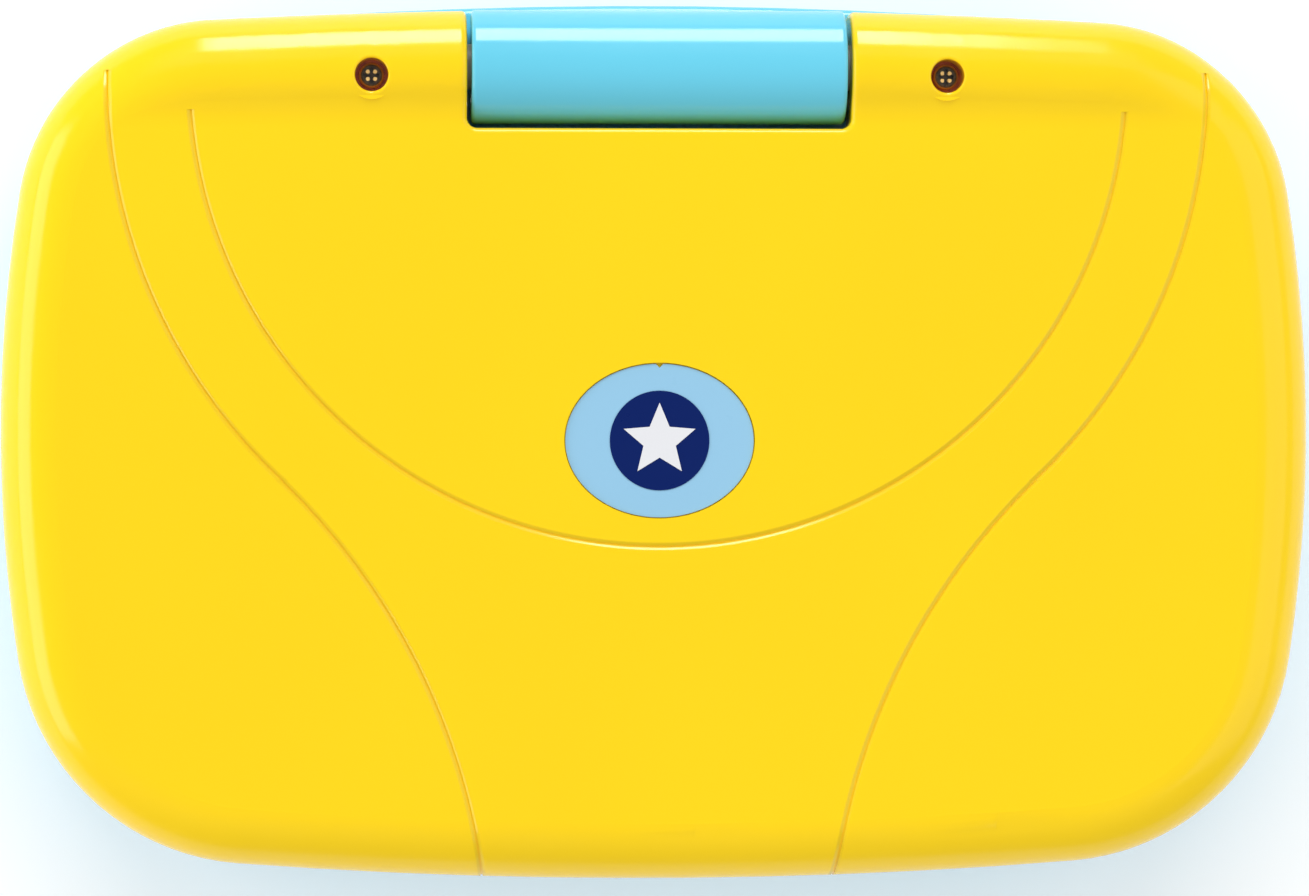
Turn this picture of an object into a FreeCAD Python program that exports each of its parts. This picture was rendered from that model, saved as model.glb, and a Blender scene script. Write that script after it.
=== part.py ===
import FreeCAD
import Part
import math
import os

# A toy laptop computer, closed: a keyboard base, and a lid with a light-up picture screen.
# X is its width, +Y points to the hinge and +Z is up. It stands on its feet at z = 0, and
# the origin is the middle of its footprint. Sizes are in millimetres.

Vector = FreeCAD.Vector
UP = Vector(0, 0, 1)

# Outlines seen from above: each side is one long flat arc, and each corner a short one
LID_OUTLINE = dict(
    half_width=115.0, side_y=1.7, side_radius=266.0,
    front_y=-77.0, front_radius=961.0, front_corner=42.3,
    rear_y=75.7, rear_radius=1517.0, rear_corner=35.9,
)
BASE_OUTLINE = dict(
    half_width=114.4, side_y=1.7, side_radius=265.4,
    front_y=-76.4, front_radius=960.0, front_corner=41.7,
    rear_y=77.0, rear_radius=925.0, rear_corner=36.0,
)

# Heights, from the floor up
FLOOR_Z = 1.0
BASE_SPLIT_Z = 14.0
DECK_UNDER_Z = 21.2
DECK_Z = 23.4
PANEL_Z = 24.6
BASE_RIM_Z = 28.0
LID_RIM_Z = 28.4
LID_SPLIT_Z = 31.0
LID_TOP_Z = 43.6
LID_BLOCK_Z = 24.0

# The hinge runs along X through the swollen rear of the lid
HINGE_Y = 65.5
HINGE_Z = 36.4
KNUCKLE_RADIUS = 10.2
BARREL_RADIUS = 10.0
SADDLE_RADIUS = 10.6
BARREL_HALF = 32.8
NOTCH_HALF = 33.6
NOTCH_DEPTH = 11.0
NOTCH_CORNER = 1.8
END_WALL = 2.0
BUSH_DIAMETER = 8.0
BUSH_BORE = 5.0
RUNNING_GAP = 0.05

# Shells
LID_WALL = 2.2
LID_EDGE_ROUND = 10.1
HOLLOW_ROUND = 11.0
BASE_WALL = 2.4
BASE_EDGE_ROUND = 7.0
WELL_INSET = 9.0
WELL_WALL = 2.2
WELL_REAR_Y = 52.0
SCOOP_HALF = 20.0
SCOOP_RADIUS = 6.0
SCOOP_AT = (-78.5, 29.5)

# Lid trim: decorative grooves, an oval badge and two sunk screws
GROOVE_WIDTH = 0.4
GROOVE_DEPTH = 0.25
U_GROOVE = dict(centre=(0.0, 63.3), radius=81.8, x=(-100.0, 100.0), y=(-30.0, 57.5))
S_GROOVE = (
    dict(centre=(-0.8, 62.8), radius=95.3, x=(-110.0, -60.0), y=(-7.0, 64.5)),
    dict(centre=(-147.9, -91.9), radius=118.1, x=(-70.0, -20.0), y=(-90.0, -7.0)),
)
BADGE_SIZE = (33.3, 27.2)
BADGE_DEPTH = 0.85
BADGE_GAP = 0.2
BADGE_DISC = 17.4
BADGE_STAR = 6.6
BADGE_LABEL_THICK = 0.5
PRINT_THICK = 0.12
LID_SCREW_AT = (50.2, 63.6)
LID_SCREW_RECESS = 5.8
LID_SCREW_SEAT_Z = 41.1
LID_SCREW_TIP_Z = 30.2
LID_BOSS_Z = 39.1
NOTCH_RIM_ROUND = 1.0
RECESS_RIM_ROUND = 0.4

# Screen in the lid
SCREEN_Y = -10.0
WINDOW = (120.0, 70.0)
SCREEN_STACK = (126.0, 76.0)
SCREEN_BOARD = (146.0, 74.0)
SCREEN_BOARD_Z = 35.6
SCREEN_SCREW_TIP_Z = 31.6
BEZEL_INSET = 0.4
BUMPER_AT = (70.0, -66.8)
BUMPER_DIAMETER = 5.0
POST_DIAMETER = 6.4

# Keyboard
KEY_COLUMNS = (-50.0, -25.0, 0.0, 25.0, 50.0)
COUNT_KEY_Y, SHAPE_KEY_Y, PIANO_KEY_Y = -4.0, -24.5, -50.0
COUNT_KEY = (18.0, 14.0)
PIANO_KEY = (22.0, 24.0)
KEY_TOP_Z = 28.0
KEY_TRAVEL = 1.5
KEY_GAP = 0.3
KEY_FLANGE = 1.2

# Insides of the base
BOARD_Z = 14.0
BOARD_THICK = 1.6
BOARD = (-92.0, 64.0, -62.0, 8.0)
DOME_HEIGHT = 1.2
MEMBRANE_THICK = 0.8
DOME_TOP_Z = BOARD_Z + BOARD_THICK + MEMBRANE_THICK - 0.2 + DOME_HEIGHT
BOARD_SCREWS = ((-86.0, 3.0), (-86.0, -52.0), (59.0, 4.0), (37.5, -36.0))
BAY = (58.0, 30.5)
BAY_Y = 27.5
DOOR = (78.0, 37.9)
DOOR_SCREW_X = 35.0
CELL_DIAMETER = 14.5
CELL_LENGTH = 49.2
CELL_SPACING = 15.1
CELL_START = 21.9
CELL_Z = 10.9
SPRING_LENGTH = 6.5
CASE_SCREWS = ((100.0, -2.0), (55.0, -67.5), (100.0, 38.0), (53.0, 62.0))
CASE_SCREW_SEAT_Z = 8.0
TOWER_TOP_Z = 10.0
TOWER_DIAMETER = 9.5
BOSS_DIAMETER = 7.0
FEET = ((84.0, -50.0), (86.0, 52.0))
FOOT_DIAMETER = 12.0
FOOT_TOP_Z = FLOOR_Z + 0.6
ROLLER_AT = (84.0, -25.0, 17.0)
ROLLER_DIAMETER = 22.0
ROLLER_LENGTH = 24.0
AXLE_DIAMETER = 4.0
BRACKET_X = 14.0
SLIDER_AT = (-84.0, -29.0)
SLIDER_TRAVEL = 8.0
SPEAKER_AT = (-72.0, 32.0)
LENS_AT = (72.0, 32.0)
LENS_TOP_Z = 26.0
LENS_STAR = (13.0, 0.55)
LIGHT_BOARD_Z = 11.0
PIN_DIAMETER = 2.4
SCREW_DIAMETER = 2.6
WIRE_DIAMETER = 2.4

# Larger than the whole toy, for cutting shapes to a range of y and z
WIDE = (-130.0, 130.0)
BEFORE, BEHIND = -100.0, 100.0
TALL = (0.0, 60.0)


# --- General shapes ---------------------------------------------------------

def box(x, y, z):
    """A box from its (low, high) along each axis."""
    return Part.makeBox(x[1] - x[0], y[1] - y[0], z[1] - z[0], Vector(x[0], y[0], z[0]))


def across(y, z=TALL):
    """Everything in a range of y and z, across the whole width."""
    return box(WIDE, y, z)


def disc(at, diameter, z):
    """An upright cylinder at (x, y)."""
    return Part.makeCylinder(diameter / 2, z[1] - z[0], Vector(at[0], at[1], z[0]))


def tube(at, diameter, bore, z):
    """An upright cylinder with a hole down its middle."""
    return disc(at, diameter, z).cut(disc(at, bore, z))


def rod(x, radius, y=HINGE_Y, z=HINGE_Z):
    """A cylinder along X, round the hinge's axis unless y and z are given."""
    return Part.makeCylinder(radius, x[1] - x[0], Vector(x[0], y, z), Vector(1, 0, 0))


def both_sides(shape):
    """The shape and its mirror image across the middle plane."""
    return [shape, shape.mirror(Vector(0, 0, 0), Vector(1, 0, 0))]


def is_upright(edge):
    ends = [v.Point for v in edge.Vertexes]
    return len(ends) == 2 and math.hypot(ends[0].x - ends[1].x, ends[0].y - ends[1].y) < 1e-6


def is_at_height(edge, z):
    bounds = edge.BoundBox
    return abs(bounds.ZMin - z) < 1e-4 and abs(bounds.ZMax - z) < 1e-4


def plate(at, size, z, corner):
    """A flat rectangular plate with rounded corners, centred on (x, y)."""
    half_x, half_y = size[0] / 2, size[1] / 2
    solid = box((at[0] - half_x, at[0] + half_x), (at[1] - half_y, at[1] + half_y), z)
    return solid.makeFillet(corner, [e for e in solid.Edges if is_upright(e)])


def raised(wire, z):
    """The solid over a closed wire in the plane z = 0, between two heights."""
    face = Part.Face(wire)
    face.translate(UP * z[0])
    return face.extrude(UP * (z[1] - z[0]))


def polygon(points):
    corners = [Vector(x, y, 0) for x, y in points]
    return Part.makePolygon(corners + corners[:1])


def round_top(solid, z, radius):
    """Round the edges of a solid that lie at height z."""
    return solid.makeFillet(radius, [e for e in solid.Edges if is_at_height(e, z)])


def joined(first, *others):
    return first.fuse(list(others)).removeSplitter() if others else first


def save(name, *solids):
    """Write one sub-part, which may be a group of separate solids."""
    flat = [s for solid in solids for s in solid.Solids]
    for solid in flat:
        assert solid.isValid() and solid.Volume > 0, name
    shape = flat[0] if len(flat) == 1 else Part.makeCompound(flat)
    shape.exportStep(f"parts/{name}.step")
    print(name, len(flat), round(shape.Volume))


def screw(at, head_z, tip_z, head_diameter=5.0, head_height=1.7):
    """A pan-head screw with a cross recess. It points up where tip_z is above head_z."""
    way = 1 if tip_z > head_z else -1
    outer_z = head_z - way * head_height
    head = disc(at, head_diameter, sorted((head_z, outer_z)))
    shank = disc(at, SCREW_DIAMETER, sorted((head_z, tip_z)))
    floor_z = outer_z + way * head_height * 0.6
    arm = head_diameter * 0.3
    slots = [
        box((at[0] - a, at[0] + a), (at[1] - b, at[1] + b), sorted((outer_z, floor_z)))
        for a, b in ((arm, 0.35), (0.35, arm))
    ]
    head = round_top(head, outer_z, head_height * 0.4)
    return joined(head, shank).cut(slots)


# --- Outlines ---------------------------------------------------------------

def meeting_point(centre_a, radius_a, centre_b, radius_b, measure):
    """Where two circles cross, at the crossing with the larger measure."""
    apart = centre_b - centre_a
    along = (radius_a**2 - radius_b**2 + apart.Length**2) / (2 * apart.Length)
    off = math.sqrt(radius_a**2 - along**2)
    unit = apart / apart.Length
    side = Vector(-unit.y, unit.x, 0)
    crossings = [centre_a + unit * along + side * s for s in (off, -off)]
    return max(crossings, key=measure)


def outline_wire(shape, inset=0.0):
    """A rounded case outline, moved inwards by the inset."""
    side = Vector(shape["half_width"] - shape["side_radius"], shape["side_y"], 0)
    front = Vector(0, shape["front_y"] + shape["front_radius"], 0)
    rear = Vector(0, shape["rear_y"] - shape["rear_radius"], 0)
    front_r, rear_r = shape["front_corner"], shape["rear_corner"]
    front_corner = meeting_point(
        front, shape["front_radius"] - front_r,
        side, shape["side_radius"] - front_r, lambda p: p.x - p.y,
    )
    rear_corner = meeting_point(
        rear, shape["rear_radius"] - rear_r,
        side, shape["side_radius"] - rear_r, lambda p: p.x + p.y,
    )

    def bearing(start, end):
        return math.atan2(end.y - start.y, end.x - start.x)

    turn_1, turn_2 = bearing(front, front_corner), bearing(side, front_corner)
    turn_3, turn_4 = bearing(side, rear_corner), bearing(rear, rear_corner)
    right = [
        (front_corner, front_r, turn_1, turn_2),
        (side, shape["side_radius"], turn_2, turn_3),
        (rear_corner, rear_r, turn_3, turn_4),
    ]
    left = [
        (Vector(-centre.x, centre.y, 0), radius, math.pi - end, math.pi - start)
        for centre, radius, start, end in reversed(right)
    ]
    sweep = [(front, shape["front_radius"], -math.pi - turn_1, turn_1), *right]
    sweep += [(rear, shape["rear_radius"], turn_4, math.pi - turn_4), *left]
    edges = []
    for centre, radius, start, end in sweep:
        angles = (start, (start + end) / 2, end)
        points = [
            centre + Vector(math.cos(a), math.sin(a), 0) * (radius - inset) for a in angles
        ]
        edges.append(Part.Arc(*points).toShape())
    return Part.Wire(edges)


def slab(shape, inset, z):
    """The outline, moved inwards, as a solid between two heights."""
    return raised(outline_wire(shape, inset), z)


# --- Lid form ---------------------------------------------------------------

def lid_profile(inset):
    """The lid's side view: a flat top that sweeps up through a hollow onto the hinge bulge."""
    axis = Vector(0, HINGE_Y, HINGE_Z)
    knuckle = KNUCKLE_RADIUS - inset
    rise = LID_TOP_Z + HOLLOW_ROUND - HINGE_Z
    hollow_y = HINGE_Y - math.sqrt((KNUCKLE_RADIUS + HOLLOW_ROUND) ** 2 - rise**2)
    hollow = Vector(0, hollow_y, LID_TOP_Z + HOLLOW_ROUND)
    outward = (hollow - axis).normalize()
    flat_end = Vector(0, hollow_y, LID_TOP_Z - inset)
    bend = (-outward - UP).normalize()
    hollow_middle = hollow + bend * (HOLLOW_ROUND + inset)
    bulge_start = axis + outward * knuckle
    bulge_middle = axis + (outward + UP).normalize() * knuckle
    bulge_top = axis + UP * knuckle
    front, rear, bottom = -90.0, 90.0, 20.0
    rear_top, front_top = Vector(0, rear, bulge_top.z), Vector(0, front, flat_end.z)
    rear_bottom, front_bottom = Vector(0, rear, bottom), Vector(0, front, bottom)
    edges = [
        Part.LineSegment(front_top, flat_end),
        Part.Arc(flat_end, hollow_middle, bulge_start),
        Part.Arc(bulge_start, bulge_middle, bulge_top),
        Part.LineSegment(bulge_top, rear_top),
        Part.LineSegment(rear_top, rear_bottom),
        Part.LineSegment(rear_bottom, front_bottom),
        Part.LineSegment(front_bottom, front_top),
    ]
    face = Part.Face(Part.Wire([e.toShape() for e in edges]))
    face.translate(Vector(WIDE[0], 0, 0))
    return face.extrude(Vector(WIDE[1] - WIDE[0], 0, 0))


def lid_form(inset):
    """The lid's outer surface moved inwards, as a solid that reaches below its rim."""
    body = slab(LID_OUTLINE, inset, (LID_BLOCK_Z, TALL[1]))
    body = body.common(lid_profile(inset)).removeSplitter()
    wall = outline_wire(LID_OUTLINE, inset)
    top_edges = []
    for edge in body.Edges:
        middle = edge.valueAt((edge.FirstParameter + edge.LastParameter) / 2)
        on_wall = wall.distToShape(Part.Vertex(Vector(middle.x, middle.y, 0)))[0] < 0.02
        if on_wall and middle.z > LID_TOP_Z - inset - 0.01 and not is_upright(edge):
            top_edges.append(edge)
    return body.makeFillet(LID_EDGE_ROUND - inset, top_edges)


def behind_knuckle(radius):
    """What lies below and behind the hinge's axis, outside the knuckle's round."""
    return across((HINGE_Y, BEHIND), (0, HINGE_Z)).cut(rod(WIDE, radius))


def notch(wall):
    """The gap in the lid that the base's barrel fills, grown by a wall."""
    front = HINGE_Y - NOTCH_DEPTH - wall
    middle, size = (front + BEHIND) / 2, (2 * (NOTCH_HALF + wall), BEHIND - front)
    return plate((0, middle), size, TALL, NOTCH_CORNER + wall)


def edge_middle(edge):
    return edge.valueAt((edge.FirstParameter + edge.LastParameter) / 2)


def notch_rim(block):
    """The edges between the notch's walls and the lid's outside."""
    walls = notch(0)
    rim = []
    for edge in block.Edges:
        middle = edge_middle(edge)
        on_wall = walls.distToShape(Part.Vertex(middle))[0] < 0.01
        inner_corner = is_upright(edge) and middle.y < HINGE_Y
        if on_wall and middle.z > LID_BLOCK_Z + 1 and not inner_corner:
            rim.append(edge)
    return rim


def recess_rims(block):
    """The upper edges of the badge's and the screws' recesses."""
    rims = []
    for edge in block.Edges:
        middle = edge_middle(edge)
        from_screw = math.hypot(abs(middle.x) - LID_SCREW_AT[0], middle.y - LID_SCREW_AT[1])
        near_screw = from_screw < LID_SCREW_RECESS and middle.z > LID_TOP_Z
        on_badge = isinstance(edge.Curve, Part.Ellipse) and is_at_height(edge, LID_TOP_Z)
        if on_badge or near_screw and not is_upright(edge):
            rims.append(edge)
    return rims


def groove_strip(arc):
    """A thin upright wall along an arc, as thick as a groove is wide."""
    width = 2 * arc["radius"]
    ring = tube(arc["centre"], width + GROOVE_WIDTH, width - GROOVE_WIDTH, TALL)
    return ring.common(box(arc["x"], arc["y"], TALL))


def groove_strips():
    """One wide U round the hinge, and an S of two arcs down each side."""
    strips = [groove_strip(U_GROOVE)]
    for arc in S_GROOVE:
        strips += both_sides(groove_strip(arc))
    return strips


def ellipse_slab(size, z):
    ellipse = Part.Ellipse(Vector(0, 0, 0), size[0] / 2, size[1] / 2)
    return raised(Part.Wire(ellipse.toShape()), z)


# --- Lid --------------------------------------------------------------------

def lid_outer_shell():
    """The glossy cover: a block with its notch and recesses, hollowed from below."""
    block = lid_form(0.0).cut(notch(0))
    block = block.makeFillet(NOTCH_RIM_ROUND, notch_rim(block))
    recesses = both_sides(disc(LID_SCREW_AT, LID_SCREW_RECESS, (LID_SCREW_SEAT_Z, TALL[1])))
    recesses.append(ellipse_slab(BADGE_SIZE, (LID_TOP_Z - BADGE_DEPTH, TALL[1])))
    block = block.cut(recesses)
    block = block.makeFillet(RECESS_RIM_ROUND, recess_rims(block))

    hollow = lid_form(LID_WALL).cut([behind_knuckle(KNUCKLE_RADIUS - LID_WALL), notch(END_WALL)])
    below = across((BEFORE, BEHIND), (0, LID_SPLIT_Z + 0.2))
    shell = block.cut([hollow, below, behind_knuckle(KNUCKLE_RADIUS)])
    boss_z = (LID_BOSS_Z, LID_TOP_Z + 1.4)
    bosses = [
        boss.cut(recess)
        for boss, recess in zip(both_sides(disc(LID_SCREW_AT, LID_SCREW_RECESS + 2.8, boss_z)), recesses)
    ]
    shell = shell.fuse(bosses)
    cuts = both_sides(disc(LID_SCREW_AT, 3.0, (LID_BOSS_Z - 0.1, LID_SCREW_SEAT_Z + 0.1)))
    cuts.append(rod((-40, 40), BUSH_DIAMETER / 2))
    skin = lid_form(0.0).cut(lid_form(GROOVE_DEPTH))
    cuts += [skin.common(strip) for strip in groove_strips()]
    for cut in cuts:
        shell = shell.cut(cut)
    return shell


def screen_posts():
    half = SCREEN_BOARD[0] / 2 - 4
    return [(x, SCREEN_Y + y) for x in (-half, half) for y in (-30.0, 30.0)]


def lid_inner_bezel():
    """The inner cover: it frames the screen, and closes the knuckle from below."""
    z = (LID_BLOCK_Z, LID_SPLIT_Z)
    face = slab(LID_OUTLINE, BEZEL_INSET, (LID_RIM_Z, LID_SPLIT_Z)).cut(behind_knuckle(0.1))
    knuckle = slab(LID_OUTLINE, BEZEL_INSET, z).common(rod(WIDE, KNUCKLE_RADIUS))
    knuckle = knuckle.cut(across((BEFORE, HINGE_Y - 8), z))
    bezel = joined(face.cut(across((HINGE_Y, BEHIND), z)), knuckle)
    hollow = slab(LID_OUTLINE, BEZEL_INSET + LID_WALL, (LID_BLOCK_Z, 40))
    hollow = hollow.common(rod(WIDE, KNUCKLE_RADIUS - END_WALL)).cut(notch(END_WALL))
    recess = slab(LID_OUTLINE, 6.0, (LID_RIM_Z - 1, LID_RIM_Z + 1))
    recess = recess.common(across((BEFORE, WELL_REAR_Y - 3)))
    ring = slab(LID_OUTLINE, LID_WALL + 0.3, (LID_SPLIT_Z - 0.5, LID_SPLIT_Z + 2.5))
    ring = ring.cut(slab(LID_OUTLINE, LID_WALL + 1.9, (LID_SPLIT_Z - 1, 40)))
    ring = ring.common(across((BEFORE, 48)))

    at = (0, SCREEN_Y)
    raised_z = (LID_SPLIT_Z - 0.5, SCREEN_BOARD_Z)
    frame = plate(at, [s + 3.4 for s in SCREEN_STACK], raised_z, 3)
    pocket = plate(at, [s + 0.4 for s in SCREEN_STACK], (LID_SPLIT_Z, 40), 1.5)
    posts = [disc(p, POST_DIAMETER, raised_z) for p in screen_posts()]
    bosses = both_sides(disc(LID_SCREW_AT, POST_DIAMETER, (27.5, LID_BOSS_Z)))
    bezel = bezel.cut([hollow, recess, notch(0)]).fuse([ring, frame, *posts, *bosses])
    window = plate(at, WINDOW, (20, 40), 5)
    holes = [disc(p, SCREW_DIAMETER, (SCREEN_SCREW_TIP_Z - 0.4, 40)) for p in screen_posts()]
    holes += both_sides(disc(LID_SCREW_AT, SCREW_DIAMETER, (LID_SCREW_TIP_Z - 0.6, 40)))
    sockets = both_sides(disc(BUMPER_AT, BUMPER_DIAMETER, (20, LID_RIM_Z + 1)))
    cable_way = box((-43.5, -40.5), (27.5, 31), (34.8, 36))
    return bezel.cut([pocket, window, cable_way, *holes, *sockets]).removeSplitter()


def badge_label():
    """An oval sticker with a small nick at the top of its edge."""
    top = LID_TOP_Z - BADGE_DEPTH
    size = [length - 2 * BADGE_GAP for length in BADGE_SIZE]
    label = ellipse_slab(size, (top, top + BADGE_LABEL_THICK))
    edge_y = BADGE_SIZE[1] / 2
    nick = raised(polygon([(-0.9, edge_y), (0.9, edge_y), (0, edge_y - 0.9)]), (top - 1, top + 1))
    return label.cut(nick)


def star_points(radius, inner=0.45):
    return [
        (r * math.sin(i * math.pi / 5), r * math.cos(i * math.pi / 5))
        for i in range(10)
        for r in [radius if i % 2 == 0 else radius * inner]
    ]


def hinge_bush():
    """A flanged tube that the lid's end wall holds, and that turns in the barrel's end wall."""
    flange_x = NOTCH_HALF + END_WALL
    tube = rod((BARREL_HALF - END_WALL, flange_x), BUSH_DIAMETER / 2)
    flange = rod((flange_x, flange_x + 1.2), BUSH_DIAMETER / 2 + 1.4)
    return joined(tube, flange).cut(rod((20, 50), BUSH_BORE / 2))


def wire_run(points, bend):
    """A round wire along straight runs joined by tangent arcs."""
    path, start = [], points[0]
    for before, corner, after in zip(points, points[1:], points[2:]):
        enter = corner + (before - corner).normalize() * bend
        leave = corner + (after - corner).normalize() * bend
        centre = enter + leave - corner
        middle = centre + (corner - centre).normalize() * bend
        path.append(Part.LineSegment(start, enter).toShape())
        path.append(Part.Arc(enter, middle, leave).toShape())
        start = leave
    path.append(Part.LineSegment(start, points[-1]).toShape())
    spine = Part.Wire(path)
    circle = Part.makeCircle(WIRE_DIAMETER / 2, points[0], points[1] - points[0])
    return spine.makePipeShell([Part.Wire(circle)], True, True)


def make_lid():
    save("lid_outer_shell", lid_outer_shell())
    save("lid_inner_bezel", lid_inner_bezel())
    low = LID_SPLIT_Z
    for name, thick in (("screen_window", 1.4), ("picture_panel", 0.4), ("light_diffuser", 1.6)):
        save(name, plate((0, SCREEN_Y), SCREEN_STACK, (low, low + thick), 1.5))
        low += thick
    board_top = SCREEN_BOARD_Z + BOARD_THICK
    board = plate((0, SCREEN_Y), SCREEN_BOARD, (SCREEN_BOARD_Z, board_top), 2)
    holes = [disc(p, SCREW_DIAMETER, (30, 40)) for p in screen_posts()]
    save("screen_board", board.cut(holes))
    spots = [(x, SCREEN_Y + y) for x in (-36.0, 0.0, 36.0) for y in (-18.0, 18.0)]
    save("screen_leds", *[plate(p, (3.5, 3.5), (34.6, SCREEN_BOARD_Z), 0.4) for p in spots])
    screws = [screw(p, board_top, SCREEN_SCREW_TIP_Z) for p in screen_posts()]
    save("screen_board_screws", *screws)
    save("badge_label", badge_label())
    disc_z = LID_TOP_Z - BADGE_DEPTH + BADGE_LABEL_THICK
    star_z = disc_z + PRINT_THICK
    save("badge_disc", disc((0, 0), BADGE_DISC, (disc_z, star_z)))
    save("badge_star", raised(polygon(star_points(BADGE_STAR)), (star_z, star_z + PRINT_THICK)))
    save("lid_screws", *both_sides(screw(LID_SCREW_AT, LID_SCREW_SEAT_Z, LID_SCREW_TIP_Z, 4.4)))
    save("hinge_bush_right", hinge_bush())
    save("hinge_bush_left", both_sides(hinge_bush())[1])
    bumper = disc(BUMPER_AT, BUMPER_DIAMETER, (BASE_RIM_Z + 0.05, LID_RIM_Z + 1))
    save("lid_bumpers", *both_sides(bumper))
    route = [(-42, 27.2, HINGE_Z), (-42, HINGE_Y, HINGE_Z), (-28, HINGE_Y, HINGE_Z)]
    save("lid_cable", wire_run([Vector(*p) for p in route], 5.0))


# --- Keyboard ---------------------------------------------------------------

def heart_wire(size):
    """Two round lobes, which cross in a cleft, over a point."""
    lobe = size * 0.3
    centre = Vector(lobe * 0.8, size * 0.18, 0)
    tip = Vector(0, -size * 0.5, 0)
    reach = (centre - tip).Length
    spread = math.atan2(centre.x, centre.y - tip.y) + math.asin(lobe / reach)
    touch = tip + Vector(math.sin(spread), math.cos(spread), 0) * math.sqrt(reach**2 - lobe**2)
    cleft = Vector(0, centre.y + lobe * 0.6, 0)
    crown = centre + Vector(0, lobe, 0)
    left_touch, left_crown = Vector(-touch.x, touch.y, 0), Vector(-crown.x, crown.y, 0)
    return Part.Wire([
        Part.LineSegment(tip, touch).toShape(),
        Part.Arc(touch, crown, cleft).toShape(),
        Part.Arc(cleft, left_crown, left_touch).toShape(),
        Part.LineSegment(left_touch, tip).toShape(),
    ])


def shape_wires():
    """The five picture keys: circle, square, triangle, star and heart."""
    circle = Part.Wire(Part.makeCircle(8.2))
    square = polygon([(-7.2, -7.2), (7.2, -7.2), (7.2, 7.2), (-7.2, 7.2)])
    triangle = polygon([(-9.0, -7.0), (9.0, -7.0), (0, 8.4)])
    star = polygon(star_points(10.0, 0.52))
    return dict(circle=circle, square=square, triangle=triangle, star=star, heart=heart_wire(17))


def rectangle(size):
    x, y = size[0] / 2, size[1] / 2
    return polygon([(-x, -y), (x, -y), (x, y), (-x, y)])


def key_plan():
    """Every key's name, place and outline."""
    keys = []
    for number, x in enumerate(KEY_COLUMNS, 1):
        keys.append((f"count_key_{number}", (x, COUNT_KEY_Y), rectangle(COUNT_KEY)))
    for x, (name, wire) in zip(KEY_COLUMNS, shape_wires().items()):
        keys.append((f"{name}_key", (x, SHAPE_KEY_Y), wire))
    for number, x in enumerate(KEY_COLUMNS, 1):
        keys.append((f"piano_key_{number}", (x, PIANO_KEY_Y), rectangle(PIANO_KEY)))
    return keys


def grown(wire, by, z):
    """The solid over a wire grown outwards."""
    return raised(wire.makeOffset2D(by), z)


def moved(shape, at):
    shape.translate(Vector(at[0], at[1], 0))
    return shape


def key(wire, dots=0):
    """A cap that stands through the deck, on a flange that keeps it in, over a plunger."""
    flange_top = DECK_UNDER_Z - 0.2
    plunger_z = (DOME_TOP_Z + KEY_TRAVEL + 0.1, flange_top - 0.5)
    cap = raised(wire, (flange_top - 0.5, KEY_TOP_Z - (0.4 if dots else 0)))
    cap = round_top(cap, cap.BoundBox.ZMax, 0.9)
    flange = grown(wire, KEY_FLANGE, (flange_top - 1.0, flange_top))
    plunger = disc((0, 0), 6.0, plunger_z)
    pips = [
        disc(((i - (dots - 1) / 2) * 2.9, 0), 1.9, (KEY_TOP_Z - 1, KEY_TOP_Z)) for i in range(dots)
    ]
    return joined(cap, flange, plunger, *pips)


def make_keys():
    for name, at, wire in key_plan():
        dots = int(name[-1]) if name.startswith("count") else 0
        save(name, moved(key(wire, dots), at))


# --- Base -------------------------------------------------------------------

def deck_openings(z):
    """Everything that stands or sounds through the deck, cut a little larger."""
    cuts = [moved(grown(wire, KEY_GAP, z), at) for _, at, wire in key_plan()]
    cuts.append(plate(ROLLER_AT, (ROLLER_LENGTH + 2, ROLLER_DIAMETER + 1.6), z, 2))
    slot_y = SLIDER_AT[1] + SLIDER_TRAVEL / 2
    cuts.append(plate((SLIDER_AT[0], slot_y), (6.0, 16.6), z, 1))
    for i in range(-3, 4):
        length = 2 * math.sqrt(17**2 - (i * 4.6) ** 2)
        cuts.append(plate((SPEAKER_AT[0], SPEAKER_AT[1] + i * 4.6), (length, 2.4), z, 1.1))
    cuts.append(moved(grown(polygon(star_points(*LENS_STAR)), 0.2, z), LENS_AT))
    return cuts


def base_form():
    body = slab(BASE_OUTLINE, 0, (FLOOR_Z, BASE_RIM_Z))
    return round_top(round_top(body, FLOOR_Z, BASE_EDGE_ROUND), BASE_RIM_Z, 1.5)


def all_case_screws():
    return [(side * x, y) for x, y in CASE_SCREWS for side in (-1, 1)]


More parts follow.
